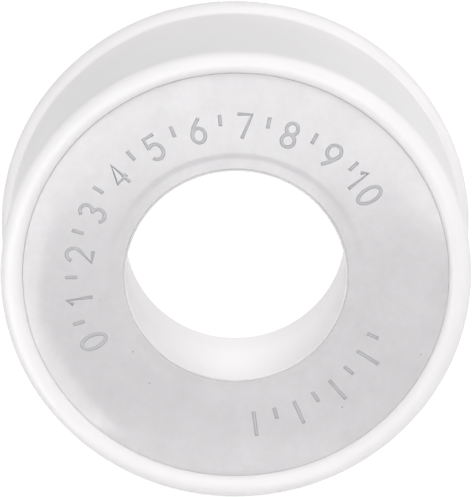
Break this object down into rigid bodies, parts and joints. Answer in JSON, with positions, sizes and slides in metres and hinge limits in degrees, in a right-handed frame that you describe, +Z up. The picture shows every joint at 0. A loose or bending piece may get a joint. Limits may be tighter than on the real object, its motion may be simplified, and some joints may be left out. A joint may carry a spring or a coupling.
{
  "type": "thread seal tape roll",
  "caption": "Roll of thin pipe-thread sealing film on a flanged spool that turns in, and pulls out of, a round cover with rounded rims and an outer groove.",
  "frame": {"origin": "on the axis of the bore, halfway between the front rim and the rear foot", "axes": "+Y along the bore from the spool's face to the rear, +Z up as the roll stands on its rims, +X to the right seen from the front"},
  "size_m": [0.05, 0.019, 0.05],
  "materials": {
    "cover_plastic": "satin white moulded polypropylene",
    "spool_plastic": "glossy pale grey-white moulded polystyrene",
    "film": "soft waxy white film"
  },
  "bodies": {
    "cover": {"outer_cover": "cover_plastic"},
    "tape_tail": {"tape_end": "film"},
    "reel": {"spool": "spool_plastic", "tape_winding": "film"}
  },
  "joints": [
    {"name": "spool_pull_out", "type": "slide", "parent": "cover", "child": "tape_tail", "axis": [0, -1, 0], "range_m": [0, 0.018]},
    {"name": "reel_spin", "type": "hinge", "parent": "tape_tail", "child": "reel", "pos_m": [0, 0, 0], "axis": [0, 1, 0], "continuous": true}
  ]
}
